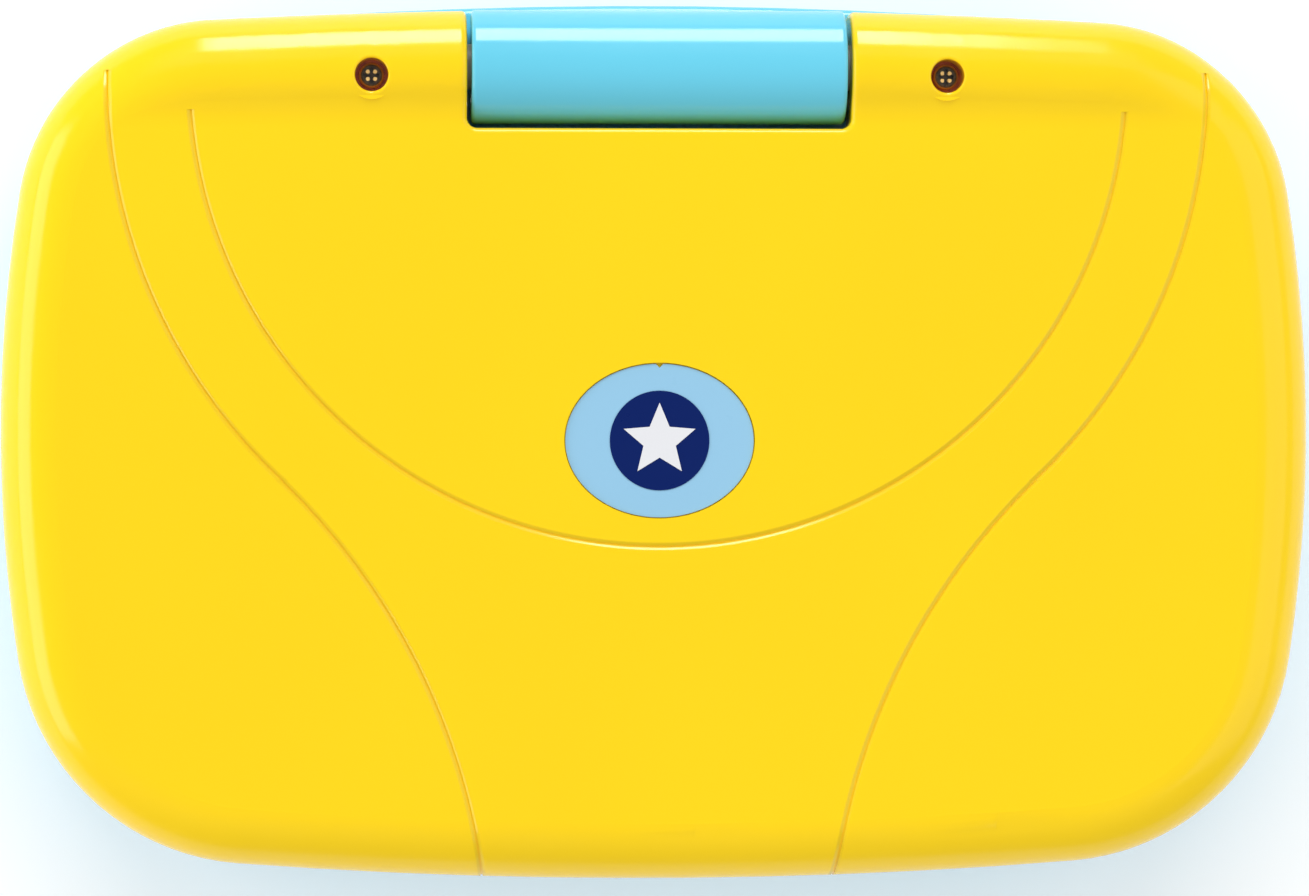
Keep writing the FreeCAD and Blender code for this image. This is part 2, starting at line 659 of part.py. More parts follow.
def base_top_case():
    z = (BASE_SPLIT_Z, 40)
    case = base_form().common(across((BEFORE, BEHIND), z))
    well = slab(BASE_OUTLINE, WELL_INSET, (DECK_Z, 40))
    well = well.common(across((BEFORE, WELL_REAR_Y), z))
    inside = slab(BASE_OUTLINE, BASE_WALL, (0, DECK_UNDER_Z))
    trough = slab(BASE_OUTLINE, BASE_WALL, (10, BASE_RIM_Z - 2.4))
    trough = trough.cut(slab(BASE_OUTLINE, WELL_INSET - WELL_WALL, (0, 40)))
    trough = trough.cut(box((-28, 28), (-100, -50), (0, 40)))
    trough = trough.common(across((BEFORE, WELL_REAR_Y), z))
    rear = slab(BASE_OUTLINE, BASE_WALL, (10, 23.6))
    rear = rear.common(across((WELL_REAR_Y + WELL_WALL, BEHIND), z))
    groove = slab(BASE_OUTLINE, 1.2, (0, BASE_SPLIT_Z + 1.3))
    saddles = both_sides(rod((NOTCH_HALF - 0.4, WIDE[1]), SADDLE_RADIUS))
    scoop = rod((-SCOOP_HALF, SCOOP_HALF), SCOOP_RADIUS, *SCOOP_AT)
    scoop_ends = both_sides(Part.makeSphere(SCOOP_RADIUS, Vector(SCOOP_HALF, *SCOOP_AT)))
    case = case.cut([well, inside, trough, rear, groove, *saddles, scoop, *scoop_ends])

    barrel = rod((-BARREL_HALF, BARREL_HALF), BARREL_RADIUS)
    barrel = barrel.makeFillet(0.8, barrel.Edges)
    bosses = [
        disc(at, BOSS_DIAMETER, (TOWER_TOP_Z, 25.0 if at[1] > WELL_REAR_Y else 23.0))
        for at in all_case_screws()
    ]
    bosses += [disc(at, BOSS_DIAMETER, (19.7, DECK_UNDER_Z + 0.5)) for at in speaker_screws()]
    x, y, axle_z = ROLLER_AT
    keeper_low = axle_z + AXLE_DIAMETER / 2
    for keeper_x in (x - BRACKET_X, x + BRACKET_X):
        keeper = box((keeper_x - 1.5, keeper_x + 1.5), (y - 1.8, y + 1.8), (keeper_low, 22))
        bosses.append(keeper)
    case = case.fuse([barrel, *bosses])

    hole = BUSH_DIAMETER / 2 + RUNNING_GAP
    cuts = [rod((-BARREL_HALF + END_WALL, BARREL_HALF - END_WALL), BARREL_RADIUS - 2.2)]
    cuts.append(rod((-40, 40), hole))
    cuts.append(plate((-20, HINGE_Y), (8, 6), (20, 30), 1))
    cuts += [disc(at, SCREW_DIAMETER, (0, 18.5)) for at in all_case_screws()]
    cuts += [disc(at, SCREW_DIAMETER, (0, 22.2)) for at in speaker_screws()]
    cuts += deck_openings((10, DECK_Z + 0.1))
    return case.cut(cuts).removeSplitter()


def battery_bay():
    """A box over the two cells, a ledge for the door, and two bosses for its screws."""
    at = (0, BAY_Y)
    walls = plate(at, [s + 3.2 for s in BAY], (3.0, 20.1), 2)
    ledge = plate(at, (DOOR[0] + 4, DOOR[1] + 3.6), (3.0, 5.3), 3)
    bosses = [disc((x, BAY_Y), BOSS_DIAMETER, (5.0, 12.0)) for x in (-DOOR_SCREW_X, DOOR_SCREW_X)]
    return [walls, ledge, *bosses]


def battery_bay_cuts():
    at = (0, BAY_Y)
    cuts = [plate(at, BAY, (0, 18.5), 1), plate(at, [s + 0.6 for s in DOOR], (0, 3.3), 2.3)]
    hole = SCREW_DIAMETER + 2 * RUNNING_GAP
    cuts += [disc((x, BAY_Y), hole, (0, 11.0)) for x in (-DOOR_SCREW_X, DOOR_SCREW_X)]
    return cuts


def base_bottom_case():
    z = (0, BASE_SPLIT_Z)
    case = base_form().common(across((BEFORE, BEHIND), z))
    inside = slab(BASE_OUTLINE, BASE_WALL, (FLOOR_Z + BASE_WALL, 40))
    inside = round_top(inside, FLOOR_Z + BASE_WALL, BASE_EDGE_ROUND - BASE_WALL)
    tongue = slab(BASE_OUTLINE, 1.3, (BASE_SPLIT_Z - 0.5, BASE_SPLIT_Z + 1.1))
    tongue = tongue.cut(slab(BASE_OUTLINE, BASE_WALL, (10, 20)))
    towers = [disc(at, TOWER_DIAMETER, (2.0, TOWER_TOP_Z)) for at in all_case_screws()]
    posts = [disc(at, POST_DIAMETER, (3.0, BOARD_Z)) for at in BOARD_SCREWS]
    x, y, axle_z = ROLLER_AT
    for bracket_x in (x - BRACKET_X, x + BRACKET_X):
        posts.append(box((bracket_x - 1.5, bracket_x + 1.5), (y - 5, y + 5), (3.0, 20.0)))
    pads = [disc(at, 5.0, (3.0, LIGHT_BOARD_Z)) for at in light_board_pins()]
    pins = [disc(at, PIN_DIAMETER, (10.0, 13.6)) for at in light_board_pins()]
    case = case.cut(inside).fuse([tongue, *towers, *posts, *pads, *pins, *battery_bay()])

    cuts = battery_bay_cuts()
    cuts += [disc(at, 6.2, (0, CASE_SCREW_SEAT_Z)) for at in all_case_screws()]
    cuts += [disc(at, 3.0, (CASE_SCREW_SEAT_Z - 1, TOWER_TOP_Z + 1)) for at in all_case_screws()]
    cuts += [disc(at, SCREW_DIAMETER, (7.6, 20.0)) for at in BOARD_SCREWS]
    cuts.append(rod((x - 17, x + 17), AXLE_DIAMETER / 2, y, axle_z))
    half = AXLE_DIAMETER / 2
    cuts.append(box((x - 17, x + 17), (y - half, y + half), (axle_z, 25)))
    cuts += [disc(at, FOOT_DIAMETER, (0, FOOT_TOP_Z)) for at in all_feet()]
    return case.cut(cuts).removeSplitter()


def light_board_pins():
    return [(LENS_AT[0] + dx, LENS_AT[1]) for dx in (-8, 8)]


def all_feet():
    return [(side * x, y) for x, y in FEET for side in (-1, 1)]


def speaker_screws():
    """The clamp's two screws, on a diagonal of the speaker."""
    x, y = SPEAKER_AT
    return [(x + d, y + d) for d in (-17.4, 17.4)]


def cone_shell(at, lower, upper, z, thickness):
    """A thin-walled cone frustum, open at both ends."""
    height = z[1] - z[0]
    base = Vector(at[0], at[1], z[0])
    outer = Part.makeCone(lower, upper, height, base)
    inner = Part.makeCone(lower - thickness, upper - thickness, height, base)
    return outer.cut(inner)


def make_speaker():
    top = DECK_UNDER_Z
    flange = tube(SPEAKER_AT, 40, 34, (top - 1.5, top))
    basket = cone_shell(SPEAKER_AT, 11.0, 18.5, (14.0, top - 1.5), 1.2)
    magnet = disc(SPEAKER_AT, 22, (8.5, 14.2))
    save("speaker_frame", joined(flange, basket, magnet))
    paper = cone_shell(SPEAKER_AT, 7.0, 16.6, (15.0, top - 1.0), 0.5)
    cap = Part.makeSphere(8.0, Vector(*SPEAKER_AT, 11.4))
    cap = cap.common(disc(SPEAKER_AT, 14.0, (14.9, 30.0)))
    save("speaker_cone", joined(paper, cap))
    ears = [disc(at, 7.0, (top - 3.0, top - 1.5)) for at in speaker_screws()]
    ring = disc(SPEAKER_AT, 44, (top - 3.0, top - 1.5))
    holes = [disc(at, SCREW_DIAMETER, (0, 40)) for at in speaker_screws()]
    ring = joined(ring, *ears).cut([disc(SPEAKER_AT, 37.6, (0, 40)), *holes])
    save("speaker_clamp", ring)
    save("speaker_screws", *[screw(at, top - 3.0, 22.0) for at in speaker_screws()])


def roller_drum():
    """A drum with finger grooves along it, on its axle."""
    x, y, z = ROLLER_AT
    ends = (x - ROLLER_LENGTH / 2, x + ROLLER_LENGTH / 2)
    drum = rod(ends, ROLLER_DIAMETER / 2, y, z)
    drum = drum.makeFillet(1.5, drum.Edges[:3])
    cuts = [rod((x - 20, x + 20), AXLE_DIAMETER / 2 + RUNNING_GAP, y, z)]
    reach = ROLLER_DIAMETER / 2 + 0.9
    for i in range(12):
        turn = i * math.pi / 6
        across, high = reach * math.sin(turn), reach * math.cos(turn)
        cuts.append(rod((x - 20, x + 20), 1.7, y + across, z + high))
    return drum.cut(cuts)


def power_slider():
    """A ribbed knob over the deck, its stem in the slot, and a foot under the deck."""
    x, y = SLIDER_AT
    knob = plate((x, y), (9.0, 8.0), (PANEL_Z + 0.3, BASE_RIM_Z - 0.6), 1.5)
    knob = round_top(knob, BASE_RIM_Z - 0.6, 0.8)
    ribs = [box((x - 6, x + 6), (y + d - 0.4, y + d + 0.4), (27.0, 30)) for d in (-2, 0, 2)]
    stem = plate((x, y), (5.4, 8.0), (DECK_UNDER_Z - 1, PANEL_Z + 1), 0.8)
    foot = plate((x, y), (10.0, 10.0), (DECK_UNDER_Z - 1.4, DECK_UNDER_Z - 0.3), 1)
    fork = [
        box((x - 2.5, x + 2.5), (y + side - 0.6, y + side + 0.6), (18.4, 20.2))
        for side in (-1.9, 1.9)
    ]
    return joined(knob, stem, foot, *fork).cut(ribs)


def make_board():
    x0, x1, y0, y1 = BOARD
    top = BOARD_Z + BOARD_THICK
    middle, size = ((x0 + x1) / 2, (y0 + y1) / 2), (x1 - x0, y1 - y0)
    holes = [disc(at, SCREW_DIAMETER, TALL) for at in BOARD_SCREWS]
    save("main_board", plate(middle, size, (BOARD_Z, top), 3).cut(holes))
    save("board_screws", *[screw(at, top, 8.2, 4.6, 1.5) for at in BOARD_SCREWS])
    chip = plate((-20, -24), (12, 12), (BOARD_Z - 2.0, BOARD_Z), 0.5)
    cans = [disc(at, 6.3, (BOARD_Z - 7.7, BOARD_Z)) for at in ((10, -24), (20, -24))]
    plug = box((-47, -41), (4.6, 8.0), (top, 19.4))
    save("board_components", chip, *cans, plug)
    sheet = plate((0, -28.5), (124, 65), (top, top + MEMBRANE_THICK), 3)
    dome_z = DOME_TOP_Z - DOME_HEIGHT
    domes = [
        Part.makeCone(4.0, 2.6, DOME_HEIGHT, Vector(*at, dome_z)) for _, at, _ in key_plan()
    ]
    clear = [disc(at, BOSS_DIAMETER, TALL) for at in BOARD_SCREWS]
    save("key_membrane", joined(sheet, *domes).cut(clear))
    x, y = SLIDER_AT
    body = box((x - 3.5, x + 3.5), (y - 3, y + SLIDER_TRAVEL + 3), (top, 18.0))
    save("power_switch", body)


def make_batteries():
    """Two cells that lie opposite ways, each between a spring and a contact plate."""
    cells, springs = [], []
    for way, y in ((1, BAY_Y - CELL_SPACING / 2), (-1, BAY_Y + CELL_SPACING / 2)):
        start = -way * CELL_START
        end = start + way * CELL_LENGTH
        can = rod(sorted((start, end)), CELL_DIAMETER / 2, y, CELL_Z)
        can = can.makeFillet(0.8, can.Edges[:3])
        nub = rod(sorted((end - way, end + way * 1.1)), 2.7, y, CELL_Z)
        cells.append(joined(can, nub))
        seat, along = Vector(-way * (CELL_START + SPRING_LENGTH), y, CELL_Z), Vector(way, 0, 0)
        coil = Part.makeCone(4.6, 2.8, SPRING_LENGTH, seat, along)
        springs.append(coil.cut(Part.makeCone(4.0, 2.2, SPRING_LENGTH, seat, along)))
    save("battery_cells", *cells)
    save("contact_springs", *springs)
    plates = [
        box(x, (BAY_Y - 13.4, BAY_Y + 13.4), (4.6, 17.2)) for x in ((-28.9, -28.5), (28.5, 28.9))
    ]
    save("contact_plates", *plates)
    door = plate((0, BAY_Y), DOOR, (FLOOR_Z, 3.2), 2)
    ends = [(x, BAY_Y) for x in (-DOOR_SCREW_X, DOOR_SCREW_X)]
    holes = [disc(at, SCREW_DIAMETER, (0, 10)) for at in ends]
    sinks = [disc(at, 5.6, (0, 2.2)) for at in ends]
    grips = [box((-6, 6), (BAY_Y + d, BAY_Y + d + 1), (0, 1.4)) for d in (-3.5, -0.5, 2.5)]
    save("battery_door", door.cut([*holes, *sinks, *grips]))
    save("battery_door_screws", *[screw(at, 2.2, 10.4, 5.0, 1.1) for at in ends])


def make_base():
    save("base_top_case", base_top_case())
    save("base_bottom_case", base_bottom_case())
    panel = slab(BASE_OUTLINE, WELL_INSET + 0.3, (DECK_Z, PANEL_Z))
    panel = panel.common(across((BEFORE, WELL_REAR_Y - 0.3)))
    save("deck_panel", panel.cut(deck_openings((20, 30))))
    save("deck_label", plate((0, 28.5), (76, 34), (PANEL_Z, PANEL_Z + 0.3), 6))
    screws = [screw(at, CASE_SCREW_SEAT_Z, 18.0) for at in all_case_screws()]
    save("base_case_screws", *screws)
    feet = [disc(at, FOOT_DIAMETER, (0, FOOT_TOP_Z)) for at in all_feet()]
    save("rubber_feet", *[round_top(foot, 0, 0.5) for foot in feet])
    x, y, z = ROLLER_AT
    save("roller_axle", rod((x - 16.5, x + 16.5), AXLE_DIAMETER / 2, y, z))
    save("roller_drum", roller_drum())
    save("power_slider", power_slider())
    star = polygon(star_points(*LENS_STAR))
    lens = round_top(raised(star, (DECK_UNDER_Z - 1.2, LENS_TOP_Z)), LENS_TOP_Z, 0.8)
    rim = grown(star, 1.5, (DECK_UNDER_Z - 1.2, DECK_UNDER_Z))
    save("star_light_lens", moved(joined(lens, rim), LENS_AT))
    led_z = (LIGHT_BOARD_Z + BOARD_THICK, LIGHT_BOARD_Z + BOARD_THICK + 3.4)
    light = plate(LENS_AT, (22, 14), (LIGHT_BOARD_Z, led_z[0]), 1)
    pins = [disc(at, PIN_DIAMETER, TALL) for at in light_board_pins()]
    save("light_board", light.cut(pins))
    dome = Part.makeSphere(2.5, Vector(*LENS_AT, led_z[1]))
    save("star_led", joined(disc(LENS_AT, 5.0, led_z), dome))
    low = 17.4
    route = [(-27.8, HINGE_Y, HINGE_Z), (-20, HINGE_Y, HINGE_Z), (-20, HINGE_Y, low)]
    route += [(-20, 52, low), (-45, 52, low), (-45, 8.2, low)]
    save("base_cable", wire_run([Vector(*p) for p in route], 4.0))


os.makedirs("parts", exist_ok=True)
make_lid()
make_keys()
make_base()
make_board()
make_speaker()
make_batteries()
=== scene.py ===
import math

import bpy
from mathutils import Matrix, Vector


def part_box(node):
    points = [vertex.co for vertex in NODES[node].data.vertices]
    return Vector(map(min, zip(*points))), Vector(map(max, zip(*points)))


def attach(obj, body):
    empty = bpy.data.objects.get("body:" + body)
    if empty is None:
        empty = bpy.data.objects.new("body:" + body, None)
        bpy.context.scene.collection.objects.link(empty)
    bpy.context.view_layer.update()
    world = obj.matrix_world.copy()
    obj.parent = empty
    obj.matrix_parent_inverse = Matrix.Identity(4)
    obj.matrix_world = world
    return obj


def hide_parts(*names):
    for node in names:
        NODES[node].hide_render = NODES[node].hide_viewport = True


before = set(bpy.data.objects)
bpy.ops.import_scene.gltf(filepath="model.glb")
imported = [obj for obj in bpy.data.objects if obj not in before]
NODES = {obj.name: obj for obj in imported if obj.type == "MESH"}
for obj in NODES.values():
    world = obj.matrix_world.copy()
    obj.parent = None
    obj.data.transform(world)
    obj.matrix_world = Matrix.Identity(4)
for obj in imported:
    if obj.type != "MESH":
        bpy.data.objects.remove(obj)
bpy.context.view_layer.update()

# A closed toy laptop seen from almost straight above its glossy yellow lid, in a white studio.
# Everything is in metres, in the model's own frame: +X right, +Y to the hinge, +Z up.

MM = 0.001
SCENE = bpy.context.scene

# Camera: nearly overhead, a little from the left, with a long lens. It is aimed at a point at
# the height of the lid's rim, where the picture is as wide as the view.
CAMERA_DISTANCE = 1.1
CAMERA_LEAN_LEFT = math.radians(3.0)
CAMERA_AIM = (-0.3 * MM, -1.3 * MM)
VIEW_WIDTH = 230.7 * MM
RIM_HEIGHT = 32 * MM
SENSOR_MM = 36.0


# --- Small helpers ----------------------------------------------------------

def linear(red, green, blue):
    """A display colour, 0 to 255, as the linear colour that a shader takes."""
    def channel(value):
        value /= 255
        return value / 12.92 if value <= 0.04045 else ((value + 0.055) / 1.055) ** 2.4
    return (channel(red), channel(green), channel(blue), 1.0)


def add_mesh(name, vertices, faces):
    """A new object in the scene, made of points and faces."""
    mesh = bpy.data.meshes.new(name)
    mesh.from_pydata(vertices, [], faces)
    mesh.validate()
    obj = bpy.data.objects.new(name, mesh)
    SCENE.collection.objects.link(obj)
    return obj


def look_at(obj, target):
    """Turn a light to face a point."""
    obj.rotation_euler = (Vector(target) - obj.location).to_track_quat("-Z", "Y").to_euler()


# --- Materials --------------------------------------------------------------

# A Mix node has sockets for every kind of value: these are the ones for colours
MIX_COLOURS_IN = slice(6, 8)
MIX_COLOUR_OUT = 2


class Material:
    """A node material round one principled shader, with short calls for what it needs."""

    def __init__(self, name, colour, roughness, **sockets):
        self.material = bpy.data.materials.new(name)
        self.material.use_nodes = True
        self.tree = self.material.node_tree
        self.shader = self.tree.nodes["Principled BSDF"]
        self.shader.inputs["Base Color"].default_value = colour
        self.shader.inputs["Roughness"].default_value = roughness
        for socket, value in sockets.items():
            self.shader.inputs[socket.replace("_", " ")].default_value = value
        self.where = self.node("TexCoord").outputs["Object"]
        self.x, self.y, _ = self.node("SeparateXYZ", self.where).outputs

    def node(self, kind, *inputs, **settings):
        """A node of a kind, with its first inputs linked, or set where they are plain values."""
        made = self.tree.nodes.new("ShaderNode" + kind)
        for key, value in settings.items():
            setattr(made, key, value)
        for socket, value in zip(made.inputs, inputs):
            if isinstance(value, bpy.types.NodeSocket):
                self.tree.links.new(value, socket)
            else:
                socket.default_value = value
        return made

    def link(self, start, end):
        self.tree.links.new(start, end)

    def math(self, operation, *inputs):
        """The result of one operation on numbers or sockets."""
        return self.node("Math", *inputs, operation=operation).outputs[0]

    def distance(self, x, y, at):
        """How far (x, y) is from a point."""
        across = self.math("SUBTRACT", x, at[0])
        along = self.math("SUBTRACT", y, at[1])
        squares = [self.math("MULTIPLY", side, side) for side in (across, along)]
        return self.math("SQRT", self.math("ADD", *squares))

    def step(self, value, low, high):
        """0 below low, 1 above high, and smooth between. A low above high turns it round."""
        made = self.node("MapRange", value, low, high, interpolation_type="SMOOTHSTEP")
        return made.outputs["Result"]

    def mix(self, factor, first, second):
        """The first colour where the factor is 0, and the second where it is 1."""
        made = self.node("Mix", data_type="RGBA")
        self.link(factor, made.inputs["Factor"])
        for socket, colour in zip(made.inputs[MIX_COLOURS_IN], (first, second)):
            if isinstance(colour, tuple):
                socket.default_value = colour
            else:
                self.link(colour, socket)
        return made.outputs[MIX_COLOUR_OUT]

    def noise(self, scale, detail=3.0):
        made = self.node("TexNoise", self.where)
        made.inputs["Scale"].default_value = scale
        made.inputs["Detail"].default_value = detail
        made.inputs["Roughness"].default_value = 0.5
        return made.outputs["Fac"]

    def mottle(self, low, high, scale, detail=3.0):
        """Two colours in soft patches."""
        return self.mix(self.step(self.noise(scale, detail), 0.35, 0.65), low, high)

    def paint(self, colour):
        self.link(colour, self.shader.inputs["Base Color"])

    def vary_roughness(self, low, high, scale):
        made = self.node("MapRange", self.noise(scale, 4.0), 0.35, 0.65, low, high)
        self.link(made.outputs["Result"], self.shader.inputs["Roughness"])

    def bump(self, height, distance):
        """Raise the surface by the height times the distance, on top of any bump before it."""
        made = self.node("Bump")
        made.inputs["Strength"].default_value = 1.0
        made.inputs["Distance"].default_value = distance
        self.link(height, made.inputs["Height"])
        if self.shader.inputs["Normal"].is_linked:
            self.link(self.shader.inputs["Normal"].links[0].from_socket, made.inputs["Normal"])
        self.link(made.outputs["Normal"], self.shader.inputs["Normal"])


def darker(rgb, share):
    """A display colour turned down to a share of itself, as a linear colour."""
    return linear(*[c * share for c in rgb])


def gloss_plastic(name, rgb, deeper=0.97, roughness=0.14):
    """Moulded toy plastic: a faint mottle, a slight orange peel and a gloss that varies."""
    made = Material(name, linear(*rgb), roughness, Specular_IOR_Level=0.4)
    made.paint(made.mottle(darker(rgb, deeper), linear(*rgb), 9.0, 2.0))
    made.vary_roughness(roughness * 0.85, roughness * 1.25, 70.0)
    made.bump(made.noise(260.0, 2.0), 0.004 * MM)
    return made


def satin_plastic(name, rgb, roughness=0.4):
    """Plastic with a fine spark-eroded texture."""
    made = Material(name, linear(*rgb), roughness, Specular_IOR_Level=0.4)
    made.paint(made.mottle(darker(rgb, 0.92), linear(*rgb), 40.0))
    made.vary_roughness(roughness * 0.85, roughness * 1.15, 300.0)
    made.bump(made.noise(2200.0, 3.0), 0.03 * MM)
    return made


def metal(name, rgb, roughness=0.3):
    """Plated metal with a fine, uneven gloss."""
    made = Material(name, linear(*rgb), roughness, Metallic=1.0)
    made.paint(made.mottle(darker(rgb, 0.85), linear(*rgb), 600.0))
    made.vary_roughness(roughness * 0.7, roughness * 1.4, 900.0)
    made.bump(made.noise(2500.0, 2.0), 0.004 * MM)
    return made


def rubber(name, rgb):
    """Matt rubber with a fine grain."""
    made = Material(name, linear(*rgb), 0.75, Specular_IOR_Level=0.25)
    made.paint(made.mottle(darker(rgb, 0.7), linear(*rgb), 500.0))
    made.vary_roughness(0.65, 0.85, 700.0)
    made.bump(made.noise(3000.0, 2.0), 0.02 * MM)
    return made


def middle(node):
    """The middle of a CAD node's box."""
    low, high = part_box(node)
    return [(a + b) / 2 for a, b in zip(low, high)]


# Grooves on the lid, in millimetres: a U round the hinge, and an S of two arcs down each side
U_GROOVE = dict(centre=(0.0, 63.3), radius=81.8, y=(-100.0, 57.5))
S_UPPER = dict(centre=(-0.8, 62.8), radius=95.3, y=(-7.0, 64.5))
S_LOWER = dict(centre=(-147.9, -91.9), radius=118.1, y=(-100.0, -7.0))
GROOVE_SHOULDER = 0.8 * MM
GROOVE_SOFT_DEPTH = 0.34 * MM


def near_groove(made, arc):
    """How far the surface is from a groove's arc, alike on the left and the right.

    Past the arc's ends a whole metre is added, so that the groove ends there.
    """
    left = made.math("MULTIPLY", made.math("ABSOLUTE", made.x), -1.0)
    away = made.distance(left, made.y, [value * MM for value in arc["centre"]])
    away = made.math("ABSOLUTE", made.math("SUBTRACT", away, arc["radius"] * MM))
    before = made.math("LESS_THAN", made.y, arc["y"][0] * MM)
    beyond = made.math("GREATER_THAN", made.y, arc["y"][1] * MM)
    return made.math("ADD", away, made.math("ADD", before, beyond))


def groove_shoulders(made):
    """A soft dip along each groove, so that its edges catch the light."""
    nearest = made.math("MINIMUM", near_groove(made, S_UPPER), near_groove(made, S_LOWER))
    nearest = made.math("MINIMUM", nearest, near_groove(made, U_GROOVE))
    return made.step(nearest, 0.0, GROOVE_SHOULDER)


def lid_screw_shape():
    """Where the right lid screw's axis is, and its head's radius, from the two screws' box."""
    low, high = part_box("lid_screws")
    radius = (high[1] - low[1]) / 2
    return (high[0] - radius, (low[1] + high[1]) / 2), radius


# The left lid screw is the mirror image of the right one. A pair of radii is where a patch of
# colour starts
# and where it is full: painted shade in the screw holes, and painted highlights and a painted
# sheen on the screws.
LID_SCREW_AT, LID_SCREW_RADIUS = lid_screw_shape()
LID_SCREW_HOLE = LID_SCREW_RADIUS + 0.7 * MM
LID_SCREW_SHADE = (LID_SCREW_HOLE + 0.08 * MM, LID_SCREW_HOLE - 0.12 * MM)
# Where the four painted highlights on each screw sit, and the ring of painted sheen at its rim
LID_SCREW_GLINT_OFF_AXIS = 0.62 * MM
LID_SCREW_GLINT = (0.42 * MM, 0.3 * MM)
LID_SCREW_RIM_SHEEN = (1.75 * MM, 2.05 * MM)
LID_RGB = (255, 214, 2)
LID_DEEPER = 0.985


def lid_yellow():
    """The glossy lid: soft groove shoulders, and deep screw holes with painted shade inside them.
    """
    made = gloss_plastic("lid_yellow", LID_RGB, LID_DEEPER, 0.17)
    hole = made.distance(made.math("ABSOLUTE", made.x), made.y, LID_SCREW_AT)
    # Painted shade: inside the screw holes the yellow turns a darker orange-brown.
    painted_shade_inside = made.step(hole, *LID_SCREW_SHADE)
    painted_hole_shade = made.mottle(linear(186, 84, 18), linear(226, 120, 30), 400.0)
    unshaded_yellow = made.mottle(darker(LID_RGB, LID_DEEPER), linear(*LID_RGB), 9.0, 2.0)
    made.paint(made.mix(painted_shade_inside, unshaded_yellow, painted_hole_shade))
    made.bump(groove_shoulders(made), GROOVE_SOFT_DEPTH)
    return made


def lid_screw_finish():
    """A blackened screw, with four painted highlights round its axis and a painted brown sheen at
    its rim.
    """
    black, glint_colour = linear(70, 60, 44), linear(255, 226, 150)
    made = Material("lid_screw_metal", black, 0.4, Specular_IOR_Level=0.6)
    across = made.math("SUBTRACT", made.math("ABSOLUTE", made.x), LID_SCREW_AT[0])
    along = made.math("SUBTRACT", made.y, LID_SCREW_AT[1])
    quarter = [made.math("ABSOLUTE", side) for side in (across, along)]
    # Painted highlights: four brass-coloured glints round the screw's axis.
    from_glint = made.distance(*quarter, (LID_SCREW_GLINT_OFF_AXIS, LID_SCREW_GLINT_OFF_AXIS))
    painted_glints = made.step(from_glint, *LID_SCREW_GLINT)
    # Painted sheen: a lighter brown ring at the screw's rim.
    painted_rim_sheen = made.step(made.distance(across, along, (0, 0)), *LID_SCREW_RIM_SHEEN)
    rough_black = made.mottle(black, linear(38, 32, 26), 1500.0)
    colour = made.mix(painted_rim_sheen, rough_black, linear(176, 116, 66))
    made.paint(made.mix(painted_glints, colour, glint_colour))
    made.vary_roughness(0.3, 0.5, 900.0)
    made.bump(made.noise(2500.0, 2.0), 0.01 * MM)
    return made


# The picture. Heights and places are shares of its height and width, from its middle. A hill has
# a phase, a height and a colour.
PICTURE_GLOW = 0.35
SKY = (-0.4, 0.5)
SUN_RIGHT, SUN_UP = 0.24, 0.22
SUN_DISC = (11.5 * MM, 11.0 * MM)
HILLS = ((0.6, -0.12, (120, 196, 88)), (2.6, -0.24, (72, 156, 70)))
HILL_RADIANS_PER_METRE = 55.0
HILL_SWELL = 0.08
HILL_EDGE = 0.006


def picture():
    """The picture behind the screen: a sun in a pale sky over two green hills."""
    made = Material("screen_picture", linear(255, 255, 255), 0.45)
    low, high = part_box("picture_panel")
    width, height = high[0] - low[0], high[1] - low[1]
    centre_y = (low[1] + high[1]) / 2
    up = made.math("DIVIDE", made.math("SUBTRACT", centre_y, made.y), height)
    colour = made.mix(made.step(up, *SKY), linear(206, 238, 250), linear(96, 178, 232))
    from_sun = made.distance(made.x, made.y, (width * SUN_RIGHT, centre_y - height * SUN_UP))
    colour = made.mix(made.step(from_sun, *SUN_DISC), colour, linear(255, 205, 60))
    for phase, level, rgb in HILLS:
        turn = made.math("ADD", made.math("MULTIPLY", made.x, HILL_RADIANS_PER_METRE), phase)
        swell = made.math("MULTIPLY", made.math("SINE", turn), HILL_SWELL)
        over = made.math("SUBTRACT", swell, made.math("SUBTRACT", up, level))
        colour = made.mix(made.step(over, 0.0, HILL_EDGE), colour, linear(*rgb))
    made.paint(colour)
    # Painted backlight: the picture glows faintly, though the LEDs behind it give no light.
    made.link(colour, made.shader.inputs["Emission Color"])
    made.shader.inputs["Emission Strength"].default_value = PICTURE_GLOW
    made.vary_roughness(0.4, 0.5, 200.0)
    made.bump(made.noise(900.0), 0.01 * MM)
    return made


# The sticker's stripe, and the dots over it: how far each is to the right of its middle
STRIPE_WAVE = 4 * MM
STRIPE_RADIANS_PER_METRE = 160.0
STRIPE_HALF_WIDTH = (2.6 * MM, 2.3 * MM)
DOT_RADIUS = (3.4 * MM, 3.1 * MM)
DOTS_UP = 9 * MM
DOTS = ((-27 * MM, (226, 70, 60)), (-9 * MM, (250, 170, 40)),
        (9 * MM, (90, 176, 80)), (27 * MM, (60, 110, 210)))


